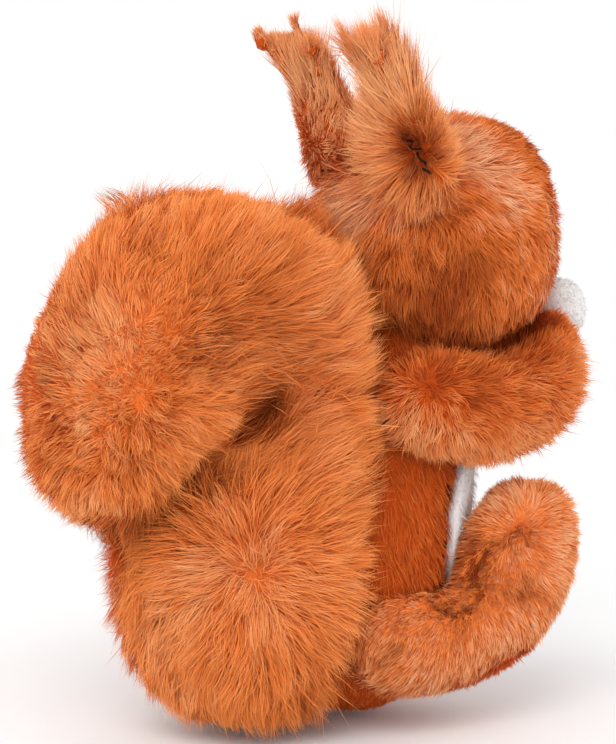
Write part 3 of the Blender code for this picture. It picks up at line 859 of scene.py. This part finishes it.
class PLUSH_OT_limb_pile(bpy.types.Operator):
    """Grow the shorter pile of the arms and the velvety pile of the legs."""
    bl_idname = "plush.limb_pile"
    bl_label = "Limb pile"

    def execute(self, context):
        sizes, colours = context.scene.plush_sizes, context.scene.plush_colours
        # The dark deep colours of arm and leg are painted shade for the paw's pit, the crook and the foot's stitched
        # dimples
        arm = pile_material("arm_pile", colours, root=(0.66, 0.10, 0.010), middle=(0.68, 0.135, 0.017),
                            tip=(0.78, 0.205, 0.040), deep=(0.28, 0.034, 0.003), pale=(0.88, 0.40, 0.16))
        leg = pile_material("leg_pile", colours, root=(0.74, 0.17, 0.03), middle=(0.80, 0.24, 0.06),
                            tip=(0.89, 0.37, 0.15), deep=(0.30, 0.040, 0.004))
        for k, (side, turn) in enumerate(SIDES):
            other = "left" if k == 0 else "right"
            crook = under(436, 378, "arm_right") * turn
            paw = [under(px, py, "arm_right") * turn for px, py in ((545, 312), (562, 318), (580, 335))]
            cuff = [under(px, py, "arm_right") * turn for px, py in ((592, 365), (588, 400), (575, 430))]

            def arm_length(place):
                return (sizes.limb_pile * (1 - 0.45 * nearness(place, paw, 0.009))
                        * (1 - 0.25 * nearness(place, [crook], 0.006)) * (1 + 0.40 * nearness(place, cuff, 0.010)))

            def arm_lean(place):
                eye = nearness(place, [crook], 0.006)
                return (0.72 - 0.20 * eye, 1.08 - 0.20 * eye)

            pile_on(context, "arm_pile_" + side, "arm_" + side, "deep_rust_plush", arm, 15500,
                    arm_length, arm_lean, [(crook, 1.0)], bias=(0, -0.25, -0.2),
                    tone_and_shading_patches=patches(ARM_TONE_AND_SHADING, "arm_right", turns=[turn]),
                    others=("body", "head", "held_ball", "arm_" + other),
                    seed=31 + k, width=sizes.strand, jitter=0.36, clump=0.5, clump_share=0.04, wander=0.5)
            gather = under(525, 537, "leg_right") * turn
            pile_on(context, "leg_pile_" + side, "leg_" + side, "rust_plush", leg, 21500,
                    sizes.leg_pile, (0.75, 1.15), [(gather, 1.0)], bias=(0, -0.1, -0.1),
                    tone_and_shading_patches=patches(LEG_TONE_AND_SHADING, "leg_right", turns=[turn]), others=("body", "tail", "arm_" + side),
                    seed=41 + k, width=sizes.strand * 0.95, jitter=0.19, clump=0.42, wander=0.35)
        return {"FINISHED"}


class PLUSH_OT_body_pile(bpy.types.Operator):
    """Grow the torso's short dark pile, the white belly nap and the ball's fuzz."""
    bl_idname = "plush.body_pile"
    bl_label = "Body pile"

    def execute(self, context):
        sizes, colours = context.scene.plush_sizes, context.scene.plush_colours
        mat = pile_material("body_pile", colours, root=(0.55, 0.075, 0.006), middle=(0.56, 0.095, 0.010),
                            tip=(0.63, 0.130, 0.016), deep=(0.40, 0.05, 0.004), pale=(0.72, 0.22, 0.06))
        white = pile_material("white_pile", colours, root=[c * 0.85 for c in colours.white],
                              middle=[c * 0.97 for c in colours.white], tip=colours.white,
                              deep=[c * 0.8 for c in colours.white])
        pile_on(context, "body_pile", "body", "deep_rust_plush", mat, 22000,
                lambda p: sizes.body_pile * np.clip((p[:, 2] - 0.001) / 0.022, 0.25, 1), (0.80, 1.2),
                [(tuple(at(0, 0, 150)), 1.0)], bias=(0, 0, -0.8), seed=51, wander=0.12,
                others=("head", "tail", "arm_right", "arm_left", "leg_right", "leg_left", "belly_panel"),
                width=sizes.strand, jitter=0.20, clump=0.4, patchy=0.1)
        pile_on(context, "belly_nap", "belly_panel", "white_plush", white, 5500, 0.0028, (0.7, 1.2),
                [(tuple(at(0, -30, 150)), 1.0)], bias=(0, 0, -0.8), seed=52,
                others=("head", "body"), width=sizes.strand, jitter=0.3, clump=0.4, patchy=0.0)
        pile_on(context, "ball_nap", "held_ball", "white_plush", white, 3000, 0.0012, (0.6, 1.1),
                [(tuple(at(0, -81, 150)), 1.0)], seed=53, others=("head", "arm_right", "arm_left"),
                width=sizes.strand * 0.7, jitter=0.35, clump=0.3, patchy=0.0)
        return {"FINISHED"}


class PLUSH_OT_face(bpy.types.Operator):
    """Polished bead eyes and nose."""
    bl_idname = "plush.face"
    bl_label = "Face"

    def execute(self, context):
        colours = context.scene.plush_colours
        bead, _, shader = new_material("bead_polish")
        feed(shader, {"Base Color": rgba(colours.bead), "Roughness": 0.12, "Coat Weight": 0.3})
        for name in ("eye_right", "eye_left", "nose"):
            frame["nodes"][name].material_slots[0].material = bead
        return {"FINISHED"}


def thread_material(name, colour):
    """Twisted cotton thread."""
    mat, tree, shader = new_material(name)
    coords = add_node(tree, "TexCoord").outputs["Object"]
    wave = add_node(tree, "TexWave", {"Vector": coords, "Scale": 900, "Distortion": 1.5},
                bands_direction="DIAGONAL").outputs["Fac"]
    mix = add_node(tree, "Mix", {0: wave, 6: rgba(colour, 0.6), 7: rgba(colour, 1.5)}, data_type="RGBA")
    bump = add_node(tree, "Bump", {"Distance": 0.0002, "Height": wave})
    feed(shader, {"Base Color": mix.outputs[2], "Normal": bump.outputs["Normal"], "Roughness": 0.75,
                  "Specular IOR Level": 0.08})
    return mat


def lay_thread(name, skin, runs, lift, radius, mat, slot):
    """Hand stitches: each run is a list of places, arched off the skin between its ends."""
    pieces = []
    for k, run in enumerate(runs):
        bpy.ops.object.select_all(action="DESELECT")
        bpy.ops.curve.primitive_bezier_curve_add(location=(0, 0, 0))
        obj = bpy.context.object
        line = obj.data.splines[0]
        line.bezier_points.add(len(run) - 2)
        for j, spot in enumerate(run):
            near, face, _, _ = SKIN_TREES[skin].find_nearest(Vector(spot))
            arch = math.sin(math.pi * j / (len(run) - 1))
            point = line.bezier_points[j]
            point.handle_left_type = point.handle_right_type = "AUTO"
            point.co = near + face * (lift * (0.15 + 0.85 * arch))
        obj.data.bevel_depth = radius
        obj.data.bevel_resolution = 2
        obj.data.resolution_u = 6
        obj.data.use_fill_caps = True
        bpy.ops.object.convert(target="MESH")
        pieces.append(bpy.context.object)
    bpy.ops.object.select_all(action="DESELECT")
    for obj in pieces:
        obj.select_set(True)
    bpy.context.view_layer.objects.active = pieces[0]
    if len(pieces) > 1:
        bpy.ops.object.join()
    made = bpy.context.object
    made.name = name
    bpy.ops.object.shade_smooth()
    made.data.materials.clear()
    made.data.materials.append(mat)
    return finish_piece(made, slot)


class PLUSH_OT_stitches(bpy.types.Operator):
    """Hand stitches that hold the ears and gather the feet, and the sewn mouth."""
    bl_idname = "plush.stitches"
    bl_label = "Stitches"

    def execute(self, context):
        colours = context.scene.plush_colours
        black = thread_material("black_thread", colours.thread)
        rust = thread_material("rust_thread", (0.42, 0.10, 0.03))
        ear = [[under(px, py, "ear_right", "head") for px, py in run] for run in
               (((399, 137), (404, 140), (409, 146)), ((407, 149), (412, 150), (417, 153)),
                ((414, 157), (419, 160), (423, 166)), ((421, 170), (426, 171), (430, 176)))]
        foot = [[under(px, py, "leg_right") for px, py in run] for run in
                (((517, 541), (525, 536), (532, 533)), ((521, 531), (525, 537), (527, 544)))]
        for side, turn in SIDES:
            lay_thread("ear_stitches_" + side, "ear_" + side, [[p * turn for p in run] for run in ear],
                       (2.6 if side == "right" else 1.2) * MM, 0.40 * MM, black, "deep_rust_plush")
            lay_thread("foot_gather_" + side, "leg_" + side, [[p * turn for p in run] for run in foot],
                       2.4 * MM, 0.30 * MM, rust, "rust_plush")
        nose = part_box("nose")
        low = Vector((0, nose[0][1] + 0.002, nose[0][2]))
        mouth = [[low, low + Vector((0, 0.001, -0.004)), low + Vector((0, 0.002, -0.008))]]
        for s in (1, -1):
            mouth.append([low + Vector((0, 0.002, -0.008)), low + Vector((0.004 * s, 0.003, -0.0105)),
                          low + Vector((0.008 * s, 0.005, -0.0095))])
        lay_thread("mouth_stitch", "head", mouth, 2.6 * MM, 0.42 * MM, black, "deep_rust_plush")
        return {"FINISHED"}


class PLUSH_OT_studio(bpy.types.Operator):
    """Pale floor, soft lamps, white surround and the camera."""
    bl_idname = "plush.studio"
    bl_label = "Studio"

    def execute(self, context):
        studio = context.scene.plush_studio
        bpy.ops.object.select_all(action="DESELECT")
        bpy.ops.mesh.primitive_circle_add(vertices=96, radius=3.0, fill_type="NGON", location=(0, 0, 0))
        floor = context.object
        floor.name = "floor"
        mat, tree, shader = new_material("floor_paper")
        feed(shader, {"Base Color": rgba(studio.floor), "Roughness": 0.9, "Specular IOR Level": 0.1})
        coords = add_node(tree, "TexCoord").outputs["Object"]
        length = add_node(tree, "VectorMath", {0: coords}, operation="LENGTH").outputs["Value"]
        far = add_node(tree, "MapRange", {"Value": length, "From Min": 0.13, "From Max": 0.30}).outputs["Result"]
        ray = add_node(tree, "LightPath").outputs["Is Camera Ray"]
        shown = add_node(tree, "Math", {0: ray, 1: far}, operation="MULTIPLY").outputs[0]
        glow = add_node(tree, "Emission", {"Strength": 1.0})
        blend = add_node(tree, "MixShader", {"Fac": shown, 1: shader.outputs[0], 2: glow.outputs[0]})
        feed(tree.nodes["Material Output"], {"Surface": blend.outputs[0]})
        floor.data.materials.append(mat)

        world = bpy.data.worlds.new("studio")
        context.scene.world = world
        world.use_nodes = True
        tree = world.node_tree
        sky = feed(tree.nodes["Background"], {"Color": (1, 1, 1, 1), "Strength": studio.fill})
        white = add_node(tree, "Background", {"Color": (1, 1, 1, 1), "Strength": 1.0})
        ray = add_node(tree, "LightPath").outputs["Is Camera Ray"]
        blend = add_node(tree, "MixShader", {"Fac": ray, 1: sky.outputs[0], 2: white.outputs[0]})
        feed(tree.nodes["World Output"], {"Surface": blend.outputs[0]})

        def lamp(name, place, power, size):
            data = bpy.data.lights.new(name, "AREA")
            data.energy = power
            data.size = size
            obj = bpy.data.objects.new(name, data)
            obj.location = place
            aim = Vector((0, 0, 0.1)) - Vector(place)
            obj.rotation_euler = aim.to_track_quat("-Z", "Y").to_euler()
            context.scene.collection.objects.link(obj)

        lamp("key_lamp", (-0.75, 0.70, 0.95), studio.key, 0.8)
        lamp("side_lamp", (-0.9, -0.8, 0.6), studio.key * 0.40, 0.8)
        lamp("back_lamp", (0.6, 1.1, 0.6), studio.key * 0.60, 0.8)

        right, up, back, place = camera_axes()
        camera = bpy.data.cameras.new("camera")
        camera.sensor_fit = "VERTICAL"
        camera.sensor_height = 24.0
        camera.lens = LENS_DISTANCE * camera.sensor_height / (PHOTO_SIZE[1] * VIEW_SCALE)
        camera.clip_start = 0.05
        eye = bpy.data.objects.new("camera", camera)
        eye.location = place
        eye.rotation_euler = Matrix((right, up, back)).transposed().to_euler()
        context.scene.collection.objects.link(eye)
        context.scene.camera = eye
        context.scene.view_settings.view_transform = "Standard"
        return {"FINISHED"}


class PLUSH_PT_panel(bpy.types.Panel):
    """Lists the steps in the sidebar."""
    bl_idname = "PLUSH_PT_panel"
    bl_label = "Plush squirrel"
    bl_space_type = "VIEW_3D"
    bl_region_type = "UI"
    bl_category = "Plush"

    def draw(self, context):
        column = self.layout.column()
        for step in STEPS:
            column.operator(step.bl_idname)
        for group in GROUPS:
            settings = getattr(context.scene, group)
            for key in settings.bl_rna.properties.keys():
                if key not in ("rna_type", "name"):
                    column.prop(settings, key)


STEPS = (PLUSH_OT_studio, PLUSH_OT_skins, PLUSH_OT_tail_pile, PLUSH_OT_head_pile, PLUSH_OT_ear_pile,
         PLUSH_OT_limb_pile, PLUSH_OT_body_pile, PLUSH_OT_face, PLUSH_OT_stitches)
GROUPS = {"plush_colours": PlushColours, "plush_sizes": PlushSizes, "plush_studio": StudioSettings}
CLASSES = tuple(GROUPS.values()) + STEPS + (PLUSH_PT_panel,)


def register():
    for cls in CLASSES:
        bpy.utils.register_class(cls)
    for name, group in GROUPS.items():
        setattr(bpy.types.Scene, name, PointerProperty(type=group))


def unregister():
    for name in GROUPS:
        delattr(bpy.types.Scene, name)
    for cls in reversed(CLASSES):
        bpy.utils.unregister_class(cls)


def main():
    register()
    bpy.ops.plush.studio()
    bpy.ops.plush.skins()
    bpy.ops.plush.tail_pile()
    bpy.ops.plush.head_pile()
    bpy.ops.plush.ear_pile()
    bpy.ops.plush.limb_pile()
    bpy.ops.plush.body_pile()
    bpy.ops.plush.face()
    bpy.ops.plush.stitches()


if __name__ == "__main__":
    main()
